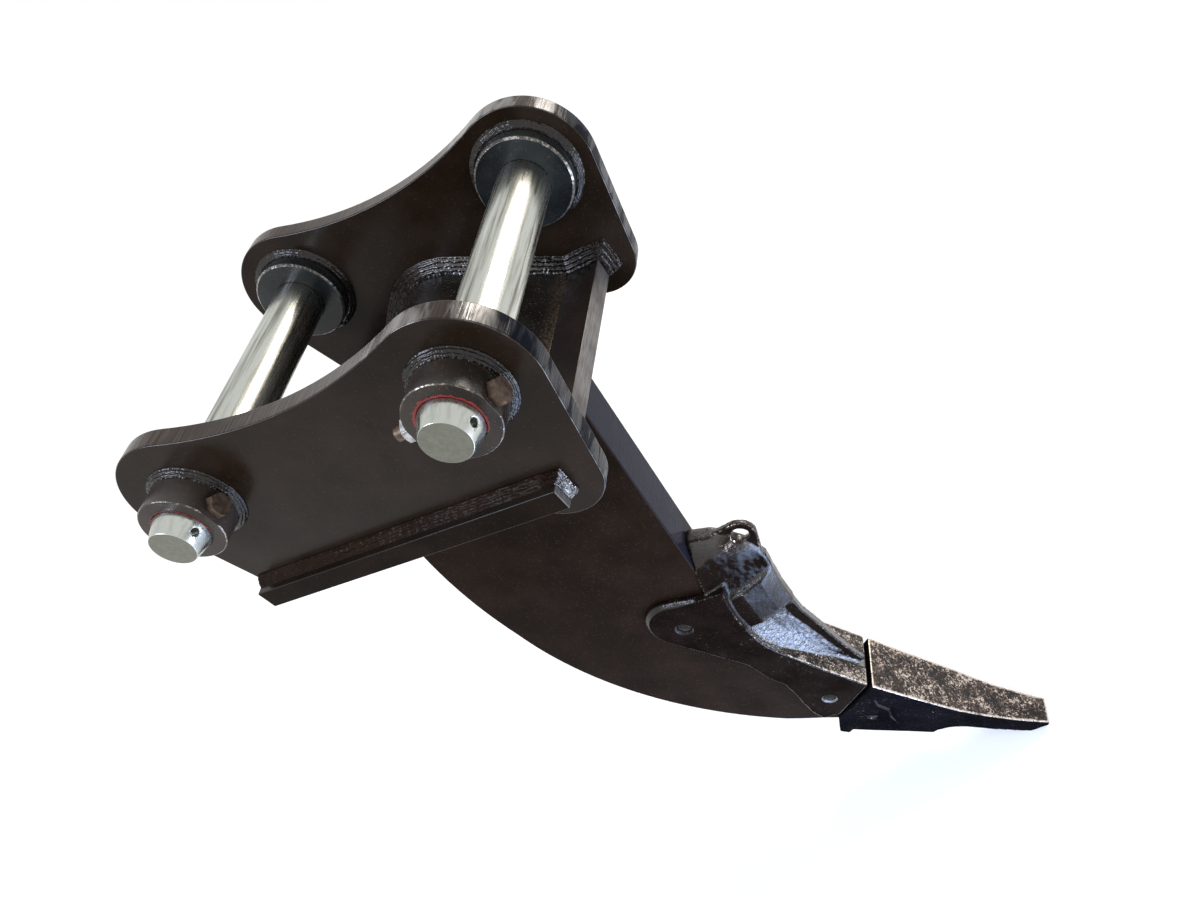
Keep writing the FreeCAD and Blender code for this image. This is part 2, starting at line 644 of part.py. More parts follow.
for side_name, side in (("left", 1), ("right", -1)):
    export("outer_seam_weld_" + side_name, seam_weld(outer_seam_path(), OUTER_SEAM, side * Y_OUT, side))
    export("inner_seam_weld_" + side_name, seam_weld(inner_seam_path(), INNER_SEAM, side * Y_IN, -side))
export("shank", lock_holes(shank_body(SHANK_HALF, NOSE_END_THICK / 2), ("wing", "cheek", "tip")))
export("shank_weld", shank_weld())
export("protector", protector())
export("tip", tip())
for name in lock_places():
    export(name + "_lock_pin", lock_pin(name))
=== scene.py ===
"""Looks of an excavator ripper attachment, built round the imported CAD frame."""

import math

import bmesh
import bpy
import numpy as np
from mathutils import Matrix, Vector


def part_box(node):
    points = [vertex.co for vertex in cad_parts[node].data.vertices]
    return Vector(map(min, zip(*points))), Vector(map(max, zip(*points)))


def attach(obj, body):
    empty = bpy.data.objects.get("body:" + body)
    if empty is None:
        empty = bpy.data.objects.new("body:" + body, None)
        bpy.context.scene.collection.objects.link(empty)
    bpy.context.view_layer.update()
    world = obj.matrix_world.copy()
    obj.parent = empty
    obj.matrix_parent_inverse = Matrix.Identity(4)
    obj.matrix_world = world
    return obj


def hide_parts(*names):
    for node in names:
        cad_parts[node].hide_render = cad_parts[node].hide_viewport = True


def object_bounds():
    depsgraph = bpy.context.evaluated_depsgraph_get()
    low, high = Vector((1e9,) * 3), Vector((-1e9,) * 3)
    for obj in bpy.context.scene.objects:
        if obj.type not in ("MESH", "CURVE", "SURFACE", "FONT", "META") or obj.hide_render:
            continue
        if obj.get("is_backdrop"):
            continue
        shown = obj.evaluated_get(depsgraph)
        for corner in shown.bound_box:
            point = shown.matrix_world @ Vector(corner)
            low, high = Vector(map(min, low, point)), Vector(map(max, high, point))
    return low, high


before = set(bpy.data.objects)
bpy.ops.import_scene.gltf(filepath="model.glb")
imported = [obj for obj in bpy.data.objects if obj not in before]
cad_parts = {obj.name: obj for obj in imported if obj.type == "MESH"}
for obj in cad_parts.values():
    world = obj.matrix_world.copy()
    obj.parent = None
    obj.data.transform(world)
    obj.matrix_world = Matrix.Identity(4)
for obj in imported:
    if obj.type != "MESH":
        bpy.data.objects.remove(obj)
cad_low, cad_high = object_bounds()


# Base plate: thick rolled steel plate that the whole head stands on, under black enamel.
# Its front end is a sawn edge left bare, with the saw's lines running across it.

def linear(colour):
    """An sRGB hex colour as linear red, green, blue and alpha."""
    parts = [int(colour[i:i + 2], 16) / 255 for i in (1, 3, 5)]
    return [c / 12.92 if c <= 0.04045 else ((c + 0.055) / 1.055) ** 2.4 for c in parts] + [1.0]


def per_metre(grain):
    """A texture's scale for a pattern whose grain is that many millimetres."""
    return 1000 / grain


def feed(tree, node, inputs):
    """Gives inputs a value or another node's output; a node stands for its first live one."""
    for key, value in inputs.items():
        if isinstance(value, bpy.types.Node):
            value = next(output for output in value.outputs if output.enabled)
        if isinstance(value, bpy.types.NodeSocket):
            tree.links.new(value, node.inputs[key])
        else:
            node.inputs[key].default_value = value


def add_node(tree, kind, inputs=None, **settings):
    """A node with its settings and its inputs fed. A kind without Node in it is a shader's."""
    node = tree.nodes.new(kind if "Node" in kind else "ShaderNode" + kind)
    for key, value in settings.items():
        setattr(node, key, value)
    feed(tree, node, inputs or {})
    return node


def opened(material):
    """A material's node tree, its shader, and the place on the piece in metres."""
    tree = material.node_tree
    place_at = add_node(tree, "TexCoord").outputs["Object"]
    return tree, tree.nodes["Principled BSDF"], place_at


def new_finish(name):
    """A new material with what opened() gives of it."""
    material = bpy.data.materials.new(name)
    material.use_nodes = True
    return material, *opened(material)


def fed_by(shader, name):
    """The output that feeds the shader's input now, to work on further."""
    return shader.inputs[name].links[0].from_socket


def facing(tree):
    """X, Y and Z of the way the surface faces."""
    normal = add_node(tree, "NewGeometry").outputs["Normal"]
    return add_node(tree, "SeparateXYZ", {0: normal}).outputs


def sideways(tree):
    """How squarely the surface faces sideways, from 0 to 1."""
    return add_node(tree, "Math", {0: facing(tree)["Y"]}, operation="ABSOLUTE")


def cloud_cover(tree, place_at):
    """Slow clouds in the enamel, 70 mm wide: the raw pattern, and the same at full contrast."""
    clouds = add_node(tree, "TexNoise", {"Vector": place_at, "Scale": per_metre(70), "Detail": 5.0})
    return clouds, add_node(tree, "MapRange", {"Value": clouds, "From Min": 0.35, "From Max": 0.68})


def enamel(name, dark, light, dust, sheen, roughness=(0.16, 0.3), lumps=0.0):
    """Black machine enamel sprayed over steel: cloudy between two tones, flecked with dust, and
    orange peel that breaks its reflections. sheen is the specular level of the plate's sides
    and of its edges, and lumps the height of slow waves in metres. The level of the sides is
    set on the socket itself too, since the export drops the link."""
    material, tree, shader, place_at = new_finish(name)
    clouds, cloudy = cloud_cover(tree, place_at)
    tone = add_node(tree, "Mix", {0: cloudy, 6: linear(dark), 7: linear(light)}, data_type="RGBA")
    flecks = add_node(tree, "TexNoise",
                      {"Vector": place_at, "Scale": per_metre(3.5), "Detail": 3.0})
    fleck = add_node(tree, "MapRange",
                     {"Value": flecks, "From Min": 0.62, "From Max": 0.7, "To Max": dust})
    dusty = add_node(tree, "Mix", {0: fleck, 6: tone, 7: linear("#7d7062")}, data_type="RGBA")
    peel = add_node(tree, "TexNoise", {"Vector": place_at, "Scale": per_metre(2.2), "Detail": 2.0})
    wave = add_node(tree, "TexNoise", {"Vector": place_at, "Scale": per_metre(18), "Detail": 2.0})
    peeled = add_node(tree, "Bump", {"Height": peel, "Distance": 0.00012, "Strength": 0.5})
    waved = add_node(tree, "Bump", {"Height": wave, "Distance": 0.0003 + lumps,
                                    "Strength": 0.6, "Normal": peeled})
    dull = add_node(tree, "MapRange",
                    {"Value": clouds, "From Min": 0.3, "From Max": 0.7,
                     "To Min": roughness[0], "To Max": roughness[1]})
    feed(tree, shader, {"Base Color": dusty, "Roughness": dull, "Normal": waved,
                        "Specular IOR Level": sheen[0]})
    if sheen[0] != sheen[1]:
        level = add_node(tree, "MapRange",
                         {"Value": sideways(tree), "From Min": 0.955, "From Max": 0.9,
                          "To Min": sheen[0], "To Max": sheen[1]})
        feed(tree, shader, {"Specular IOR Level": level})
    return material


def sawn_steel():
    """Bare sawn steel: slanting lines 1.1 mm apart and 33 mm long between two greys, dull
    enough to blur what it mirrors."""
    material, tree, shader, place_at = new_finish("sawn steel")
    slant = add_node(tree, "Mapping",
                     {"Vector": place_at, "Rotation": (math.radians(38), 0.0, 0.0),
                      "Scale": [per_metre(grain) for grain in (33.33, 33.33, 1.111)]})
    lines = add_node(tree, "TexNoise", {"Vector": slant, "Scale": 1.0, "Detail": 3.0})
    patches = add_node(tree, "TexNoise",
                       {"Vector": place_at, "Scale": per_metre(50), "Detail": 4.0})
    both = add_node(tree, "Math", {0: lines, 1: patches}, operation="MULTIPLY")
    tone = add_node(tree, "MapRange", {"Value": both, "From Min": 0.14, "From Max": 0.36})
    colour = add_node(tree, "Mix",
                      {0: tone, 6: linear("#433e3b"), 7: linear("#7a7672")}, data_type="RGBA")
    bump = add_node(tree, "Bump", {"Height": lines, "Distance": 0.0002, "Strength": 0.7})
    feed(tree, shader, {"Base Color": colour, "Normal": bump, "Metallic": 0.5, "Roughness": 0.5})
    return material


def put_in_scene(name, data):
    """A new object in the scene that holds a mesh, a lamp or a camera."""
    thing = bpy.data.objects.new(name, data)
    bpy.context.scene.collection.objects.link(thing)
    return thing


def joined(node, finish, smooth=True):
    """A piece with a CAD node's own shape: its loose triangles joined, its flat faces whole."""
    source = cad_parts[node].data
    mesh = bpy.data.meshes.new(f"{node}_{finish}")
    mesh.from_pydata([v.co[:] for v in source.vertices], [],
                     [p.vertices[:] for p in source.polygons])
    shape = bmesh.new()
    shape.from_mesh(mesh)
    bmesh.ops.remove_doubles(shape, verts=shape.verts, dist=2e-6)
    bmesh.ops.dissolve_limit(shape, angle_limit=math.radians(0.4),
                             verts=shape.verts, edges=shape.edges)
    shape.to_mesh(mesh)
    shape.free()
    mesh.polygons.foreach_set("use_smooth", [smooth] * len(mesh.polygons))
    return put_in_scene(mesh.name, mesh)


def ease_edges(piece, width, segments=3):
    """Live bevel along the piece's corners, with flat faces kept flat in the light."""
    bevel = piece.modifiers.new("eased edges", "BEVEL")
    bevel.width = width
    bevel.segments = segments
    bevel.limit_method = "ANGLE"
    bevel.angle_limit = math.radians(32)
    bevel.use_clamp_overlap = False
    piece.modifiers.new("flat faces", "WEIGHTED_NORMAL")


def place(piece, node, material=None):
    """The piece stands for its CAD node, which is hidden, and takes the finish given, if any."""
    if material:
        piece.data.materials.clear()
        piece.data.materials.append(material)
    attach(piece, "root")
    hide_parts(node)


BASE_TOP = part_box("base_plate")[1].z
base = joined("base_plate", "painted")
ease_edges(base, 0.0018)
place(base, "base_plate",
      enamel("black enamel, base plate", "#17110c", "#231a14", dust=0.06, sheen=(0.02, 0.25)))
base.data.materials.append(sawn_steel())
for face in base.data.polygons:
    if face.normal.x > 0.99:
        face.material_index = 1


# Side plates: two flame-cut ears of thick plate, welded upright on the base plate.
# The torch left fine lines across their edges, and black enamel covers all. It shines in
# bands over the front lobes and is dull along the saddle behind them.

def flame_cut(material, depth, tones, front_gloss):
    """Fine drag lines across the flame-cut edges of an enamelled plate. Of the three tones two
    streak the edges and the last, blue-black, is painted shade on edges that face forward,
    which keep only a share of their gloss too. The lines are 2.4 mm apart and 71 mm long."""
    low, high, front = tones
    tree, shader, place_at = opened(material)
    edge = add_node(tree, "MapRange", {"Value": sideways(tree), "From Min": 0.75, "From Max": 0.35})
    grains = [per_metre(grain) for grain in (2.381, 71.43, 2.381)]
    stretch = add_node(tree, "VectorMath", {0: place_at, 1: grains}, operation="MULTIPLY")
    lines = add_node(tree, "TexNoise", {"Vector": stretch, "Scale": 1.0, "Detail": 2.0})
    streak = add_node(tree, "MapRange", {"Value": lines, "From Min": 0.38, "From Max": 0.66})
    streaked = add_node(tree, "Math",
                        {0: streak, 1: cloud_cover(tree, place_at)[1]}, operation="MULTIPLY")
    streak_tone = add_node(tree, "Mix",
                           {0: streaked, 6: linear(low), 7: linear(high)}, data_type="RGBA")
    forward = add_node(tree, "MapRange",
                       {"Value": facing(tree)["X"], "From Min": 0.62, "From Max": 0.85})
    # Edges that face forward take the blue-black tone: painted shade.
    streak_and_front_shade = add_node(tree, "Mix",
                         {0: forward, 6: streak_tone, 7: linear(front)}, data_type="RGBA")
    tinted = add_node(tree, "Mix",
                      {0: edge, 6: fed_by(shader, "Base Color"), 7: streak_and_front_shade}, data_type="RGBA")
    drag = add_node(tree, "Math", {0: lines, 1: edge}, operation="MULTIPLY")
    cut = add_node(tree, "Bump", {"Height": drag, "Distance": depth, "Strength": 0.8,
                                  "Normal": fed_by(shader, "Normal")})
    share = add_node(tree, "MapRange", {"Value": forward, "To Min": 1.0, "To Max": front_gloss})
    level = add_node(tree, "Math",
                     {0: fed_by(shader, "Specular IOR Level"), 1: share}, operation="MULTIPLY")
    feed(tree, shader, {"Base Color": tinted, "Normal": cut, "Specular IOR Level": level})
    return material


# Two browns streak along the drag lines on the edges; the blue-black third tone is painted shade on
# the edges that face forward.
ear_enamel = flame_cut(enamel("black enamel, side plates", "#20170f", "#2b211a", dust=0.1,
                              sheen=(0.12, 0.5), roughness=(0.13, 0.26)),
                       0.0006, ("#2b211a", "#54473d", "#12151d"), 0.06)
LOBE_START, LOBE_FULL = 0.36, 0.4       # X between which the saddle runs into the front lobe
tree, shader, place_at = opened(ear_enamel)
along = add_node(tree, "SeparateXYZ", {0: place_at})
lobe = add_node(tree, "MapRange",
                {"Value": along.outputs["X"], "From Min": LOBE_START, "From Max": LOBE_FULL})
squeezed = add_node(tree, "VectorMath", {0: place_at, 1: (1.0, 0.25, 1.0)}, operation="MULTIPLY")
bands = add_node(tree, "TexNoise",
                 {"Vector": squeezed, "Scale": per_metre(26), "Detail": 3.0, "Distortion": 0.8})
banded = add_node(tree, "MapRange", {"Value": bands, "From Min": 0.45,
                                     "From Max": 0.58, "To Min": 0.35, "To Max": 4.5})
shine = add_node(tree, "Mix", {0: lobe, 2: 0.3, 3: banded})
on_edge = add_node(tree, "MapRange", {"Value": sideways(tree), "From Min": 0.9, "From Max": 0.6})
share = add_node(tree, "Mix", {0: on_edge, 2: 1.0, 3: shine})
level = add_node(tree, "Math",
                 {0: fed_by(shader, "Specular IOR Level"), 1: share}, operation="MULTIPLY")
feed(tree, shader, {"Specular IOR Level": level})
for side in ("left", "right"):
    ear = joined(f"side_plate_{side}", "painted")
    ease_edges(ear, 0.0022)
    place(ear, f"side_plate_{side}", ear_enamel)


# Cover plate: bent sheet between the ears, welded to them and to the base plate.
# Road dust lies in the corner along its front foot.

cover_enamel = enamel("black enamel, cover plate", "#1b1815", "#2c2925", dust=0.5,
                      sheen=(0.75, 0.8))
DUST_TOP, DUST_FULL = BASE_TOP + 0.011, BASE_TOP + 0.0005       # the dust thickens downwards
tree, shader, place_at = opened(cover_enamel)
up = add_node(tree, "SeparateXYZ", {0: place_at}).outputs["Z"]
foot = add_node(tree, "MapRange", {"Value": up, "From Min": DUST_TOP, "From Max": DUST_FULL})
grit = add_node(tree, "TexNoise", {"Vector": place_at, "Scale": per_metre(4), "Detail": 5.0})
gritty = add_node(tree, "MapRange", {"Value": grit, "From Min": 0.38, "From Max": 0.6})
dusty_foot = add_node(tree, "Math", {0: foot, 1: gritty}, operation="MULTIPLY")
dusted = add_node(tree, "Mix",
                  {0: dusty_foot, 6: fed_by(shader, "Base Color"), 7: linear("#5a4b3c")},
                  data_type="RGBA")
feed(tree, shader, {"Base Color": dusted})
cover = joined("cover_plate", "painted")
ease_edges(cover, 0.0012)
place(cover, "cover_plate", cover_enamel)


# Outer bosses: turned rings welded round the pin holes on the ears' outer faces.
# The paint is rubbed through to bright steel on their chamfers.

def rub_through(material, brown, bright):
    """Enamel worn ragged, first to brown and then to bright steel, where the attribute "worn"
    says so. A grain of 6.5 mm breaks the worn place up and patches of 35 mm thin it out."""
    tree, shader, place_at = opened(material)
    worn = add_node(tree, "Attribute", attribute_name="worn").outputs["Fac"]
    grain = add_node(tree, "TexNoise",
                     {"Vector": place_at, "Scale": per_metre(6.5), "Detail": 5.0,
                      "Roughness": 0.68, "Distortion": 1.3})
    patches = add_node(tree, "TexNoise",
                       {"Vector": place_at, "Scale": per_metre(35), "Detail": 3.0})
    spread = add_node(tree, "Math", {0: patches, 1: 1.1, 2: worn}, operation="MULTIPLY_ADD")
    ragged = add_node(tree, "Math", {0: grain, 1: 2.8, 2: spread}, operation="MULTIPLY_ADD")
    mask = add_node(tree, "Math", {0: ragged, 1: 1.95}, operation="SUBTRACT")
    thin = add_node(tree, "MapRange", {"Value": mask, "From Min": 0.26, "From Max": 0.4})
    bare = add_node(tree, "MapRange", {"Value": mask, "From Min": 0.5, "From Max": 0.7})
    browned = add_node(tree, "Mix", {0: thin, 6: fed_by(shader, "Base Color"), 7: linear(brown)},
                       data_type="RGBA")
    colour = add_node(tree, "Mix", {0: bare, 6: browned, 7: linear(bright)}, data_type="RGBA")
    metal = add_node(tree, "Math", {0: thin, 1: 0.8}, operation="MULTIPLY")
    feed(tree, shader, {"Base Color": colour, "Metallic": metal})
    return material


def turned_rings(ring, edge, material):
    """The four outer or inner bosses, with the attribute "worn" high on their chamfers, the
    faces that lean between a ring's face and its rim."""
    for end in ("front", "rear"):
        for side in ("left", "right"):
            node = f"{end}_{ring}_boss_{side}"
            boss = joined(node, "painted")
            worn = boss.data.attributes.new("worn", "FLOAT", "FACE")
            worn.data.foreach_set("value", [0.42 if 0.2 < abs(f.normal.y) < 0.95 else -0.25
                                            for f in boss.data.polygons])
            ease_edges(boss, edge, segments=2)
            place(boss, node, material)


boss_enamel = rub_through(enamel("black enamel, bosses", "#221c18", "#40362f", dust=0.3,
                                 sheen=(0.3, 0.6), roughness=(0.24, 0.4)), "#6b5f54", "#a9a299")
turned_rings("outer", 0.0005, boss_enamel)


# Inner bosses: wider turned collars welded on the ears' inner faces, round the same holes.
# They carry the arm's thrust, so their chamfers are rubbed bright too.

collar_enamel = rub_through(enamel("black enamel, inner bosses", "#181b1c", "#2a2e2e", dust=0.2,
                                   sheen=(0.3, 0.6), roughness=(0.2, 0.34)),
                            "#6b6660", "#b4b2ae")
turned_rings("inner", 0.0006, collar_enamel)


# Head pins: turned bars with tapered ends, zinc bright, with old grease and painted dark
# reflections streaked along them.
# Each has a small threaded hole across its near end, and turning marks on the end faces.

BOSS_OUT = 0.3          # the outer bosses' faces stand this far from the middle


def bright_pin(name, centre_x, centre_z):
    """Zinc-bright turned steel: it mirrors softly along its length, through dark streaks 7 mm wide
    and 200 mm long, part grease and part painted reflection of dark surroundings, that thin out
    on the ends outside the bosses. Its end faces are a dull grey-green with rings."""
    material, tree, shader, place_at = new_finish(name)
    from_axis = add_node(tree, "VectorMath",
                         {0: place_at, 1: (centre_x, 0.0, centre_z)}, operation="SUBTRACT")
    grains = [per_metre(grain) for grain in (6.667, 200, 6.667)]
    stretch = add_node(tree, "VectorMath", {0: from_axis, 1: grains}, operation="MULTIPLY")
    grease_and_reflection_streaks = add_node(tree, "TexNoise",
                      {"Vector": stretch, "Scale": 1.0, "Detail": 6.0, "Roughness": 0.62})
    across = add_node(tree, "SeparateXYZ", {0: place_at}).outputs["Y"]
    from_middle = add_node(tree, "Math", {0: across}, operation="ABSOLUTE")
    thinned_outside = add_node(tree, "MapRange",
                       {"Value": from_middle, "From Min": BOSS_OUT - 0.002,
                        "From Max": BOSS_OUT + 0.006, "To Min": 1.0, "To Max": 0.25})
    streak_contrast = add_node(tree, "MapRange", {"Value": grease_and_reflection_streaks, "From Min": 0.46, "From Max": 0.68})
    grease_and_reflection_share = add_node(tree, "Math", {0: streak_contrast, 1: thinned_outside}, operation="MULTIPLY")
    # The dark tone is partly grease and partly a painted reflection of dark surroundings.
    body = add_node(tree, "Mix",
                    {0: grease_and_reflection_share, 6: linear("#bfc2bb"), 7: linear("#6f6c62")}, data_type="RGBA")
    rings = add_node(tree, "TexWave",
                     {"Vector": from_axis, "Scale": per_metre(6), "Distortion": 0.4},
                     wave_type="RINGS", rings_direction="Y")
    end_tone = add_node(tree, "Mix",
                        {0: grease_and_reflection_streaks, 6: linear("#5c5d4e"), 7: linear("#86867a")}, data_type="RGBA")
    end = add_node(tree, "MapRange", {"Value": sideways(tree), "From Min": 0.8, "From Max": 0.95})
    colour = add_node(tree, "Mix", {0: end, 6: body, 7: end_tone}, data_type="RGBA")
    ringed = add_node(tree, "Math", {0: rings, 1: end}, operation="MULTIPLY")
    bump = add_node(tree, "Bump", {"Height": ringed, "Distance": 0.0001, "Strength": 0.6})
    rough = add_node(tree, "MapRange",
                     {"Value": grease_and_reflection_streaks, "From Min": 0.35, "From Max": 0.7,
                      "To Min": 0.16, "To Max": 0.42})
    metal = add_node(tree, "MapRange", {"Value": end, "To Min": 1.0, "To Max": 0.55})
    feed(tree, shader, {"Base Color": colour, "Roughness": rough, "Metallic": metal,
                        "Normal": bump})
    return material


PIN_CENTRES = {}
for end in ("rear", "front"):
    low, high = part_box(f"{end}_pin")
    PIN_CENTRES[end] = round((low.x + high.x) / 2, 3), round((low.z + high.z) / 2, 3)
for end, (pin_x, pin_z) in PIN_CENTRES.items():
    pin = joined(f"{end}_pin", "turned")
    ease_edges(pin, 0.0012)
    place(pin, f"{end}_pin",
          bright_pin(f"zinc-bright turned steel, {end} pin", pin_x, pin_z))


# Retaining bolts and the front bolt's nut: plain hexagon hardware through the near bosses.
# The bolts are browned steel, the nut is zinc plated.

def hardware(name, colour, light, metallic, roughness):
    """Rolled or plated steel of bolts, nuts and plugs, with lighter smudges 7 mm wide."""
    material, tree, shader, place_at = new_finish(name)
    smudges = add_node(tree, "TexNoise", {"Vector": place_at, "Scale": per_metre(7), "Detail": 5.0})
    smudge = add_node(tree, "MapRange", {"Value": smudges, "From Min": 0.4, "From Max": 0.62})
    tone = add_node(tree, "Mix", {0: smudge, 6: linear(colour), 7: linear(light)}, data_type="RGBA")
    bump = add_node(tree, "Bump", {"Height": smudges, "Distance": 0.00008, "Strength": 0.4})
    feed(tree, shader, {"Base Color": tone, "Normal": bump, "Metallic": metallic,
                        "Roughness": roughness})
    return material


# Browned steel gives a soft brown sheen; zinc plate is pale and shines, though blurred.
bolt_steel = hardware("browned bolt steel", "#4a3a2e", "#655243", 0.45, 0.36)
zinc = hardware("zinc plate", "#8f9192", "#c9cbcb", 0.9, 0.34)
for node, finish, edge, slot, material in (
        ("front_retaining_bolt", "browned", 0.0006, "bolt_steel", bolt_steel),
        ("rear_retaining_bolt", "browned", 0.0006, "bolt_steel", bolt_steel),
        ("front_retaining_nut", "plated", 0.0007, "zinc_nut", zinc)):
    fastener = joined(node, finish, smooth=False)
    ease_edges(fastener, edge, segments=2)
    place(fastener, node, material)


# Marking paint: thin red brush lines left on the near bosses, round the pins.
# The front pin's line is thick and has run a little; the rear pin's is a thin arc.

PAINT_RADIUS = 0.0403       # just outside the pins
PAINT_UNDER = 0.0001        # the line starts this far off the boss's face


def paint_line(name, centre, start, end, width, run, seed):
    """A raised brush line round a pin on the near boss face, from one angle to another. Its
    width wanders along the arc, and near its middle it has run wider."""
    rng = np.random.default_rng(seed)
    count, knot_count = 180, 54
    angles = np.radians(np.linspace(start, end, count))
    knots = np.interp(np.linspace(0, 1, count), np.linspace(0, 1, knot_count),
                      rng.random(knot_count))
    fade = np.clip(np.minimum(np.arange(count), np.arange(count)[::-1]) / 14, 0.05, 1)
    wide = width * (0.45 + 0.9 * knots) * fade
    wide += run * np.exp(-((np.degrees(angles) - (start + end) / 2 - 25) / 5) ** 2)
    vertices, faces = [], []
    for i, angle in enumerate(angles):
        for reach, lift in ((0.0, 0.0), (0.0, 0.0004), (0.5, 0.0007), (1.0, 0.0004),
                            (1.0, 0.0)):
            r = PAINT_RADIUS + reach * wide[i]
            vertices.append((centre[0] + r * math.cos(angle), -BOSS_OUT - PAINT_UNDER - lift,
                             centre[1] + r * math.sin(angle)))
        if i:
            k = 5 * i
            faces += [(k - 5 + j, k - 5 + (j + 1) % 5, k + (j + 1) % 5, k + j) for j in range(5)]
    faces += [(0, 1, 2, 3, 4), tuple(5 * count - 1 - j for j in range(5))]
    mesh = bpy.data.meshes.new(name)
    mesh.from_pydata(vertices, [], faces)
    shape = bmesh.new()
    shape.from_mesh(mesh)
    bmesh.ops.recalc_face_normals(shape, faces=shape.faces)
    shape.to_mesh(mesh)
    shape.free()
    return put_in_scene(name, mesh)


# Brushed marking paint: half-matt red, streaked darker where the brush left less of it.
red_paint, tree, shader, place_at = new_finish("red marking paint")
brushed = add_node(tree, "TexNoise", {"Vector": place_at, "Scale": per_metre(4), "Detail": 4.0})
red = add_node(tree, "Mix",
               {0: brushed, 6: linear("#5c110f"), 7: linear("#9c2f2b")}, data_type="RGBA")
feed(tree, shader, {"Base Color": red, "Roughness": 0.45})
for end, start, stop, width, run, seed in (("front", -50, 205, 0.0034, 0.0015, 3),
                                           ("rear", -30, 200, 0.0013, 0.0, 8)):
    line = paint_line(f"{end}_marking_paint", PIN_CENTRES[end], start, stop, width, run, seed)
    line.data.materials.append(red_paint)
    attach(line, "root")


# Boss welds: one fillet bead round each boss, laid by hand over the plate and the ring.
# The ripples are made by a geometry tree that follows the bead's own length.

def plain_mesh(piece):
    """The piece's modifiers worked into its mesh, and taken off."""
    graph = bpy.context.evaluated_depsgraph_get()
    graph.update()
    made = bpy.data.meshes.new_from_object(piece.evaluated_get(graph), depsgraph=graph)
    piece.modifiers.clear()
    old = piece.data
    piece.data = made
    bpy.data.meshes.remove(old)
    made.name = piece.name
    made.polygons.foreach_set("use_smooth", [True] * len(made.polygons))


def remade(node, finish, voxel, smooth_steps):
    """A CAD node's shape as one even skin of voxel size, its corners softened."""
    piece = joined(node, finish)
    skin = piece.modifiers.new("even skin", "REMESH")
    skin.mode = "VOXEL"
    skin.voxel_size = voxel
    skin.use_smooth_shade = True
    soft = piece.modifiers.new("soft corners", "SMOOTH")
    soft.factor = 0.5
    soft.iterations = smooth_steps
    plain_mesh(piece)
    return piece


def rows_of(mesh, key):
    """The vertices' places "co" or directions "normal", as an array of rows."""
    flat = np.zeros(len(mesh.vertices) * 3)
    mesh.vertices.foreach_get(key, flat)
    return flat.reshape(-1, 3)


def give_attribute(mesh, name, values):
    """A named number on each vertex."""
    attribute = mesh.attributes.new(name, "FLOAT", "POINT")
    attribute.data.foreach_set("value", np.asarray(values, np.float32))


def skin_tree(name, sizes):
    """A geometry tree for a skin with its named inputs, and those inputs."""
    tree = bpy.data.node_groups.new(name, "GeometryNodeTree")
    sockets = tree.interface
    sockets.new_socket("Geometry", in_out="INPUT", socket_type="NodeSocketGeometry")
    for size in (*sizes, "Seed"):
        sockets.new_socket(size, in_out="INPUT", socket_type="NodeSocketFloat")
    sockets.new_socket("Material", in_out="INPUT", socket_type="NodeSocketMaterial")
    sockets.new_socket("Geometry", in_out="OUTPUT", socket_type="NodeSocketGeometry")
    return tree, add_node(tree, "NodeGroupInput").outputs


def lumpy(tree, given, size, detail):
    """Lumps of a named size, running half above and half below nothing."""
    here = add_node(tree, "GeometryNodeInputPosition")
    scale = add_node(tree, "Math", {0: 1.0, 1: given[size]}, operation="DIVIDE")
    noise = add_node(tree, "TexNoise",
                     {"Vector": here, "W": given["Seed"], "Scale": scale, "Detail": detail},
                     noise_dimensions="4D")
    return add_node(tree, "Math", {0: noise, 1: 0.5}, operation="SUBTRACT")


def raise_skin(tree, given, height):
    """Ends a tree: the skin moves out by the height, and comes out whole in its material."""
    push = add_node(tree, "VectorMath",
                    {0: add_node(tree, "GeometryNodeInputNormal"), "Scale": height},
                    operation="SCALE")
    moved = add_node(tree, "GeometryNodeSetPosition",
                     {"Geometry": given["Geometry"], "Offset": push})
    whole = add_node(tree, "GeometryNodeRealizeInstances", {0: moved})
    faced = add_node(tree, "GeometryNodeSetMaterial",
                     {"Geometry": whole, "Material": given["Material"]})
    add_node(tree, "NodeGroupOutput", {0: faced})


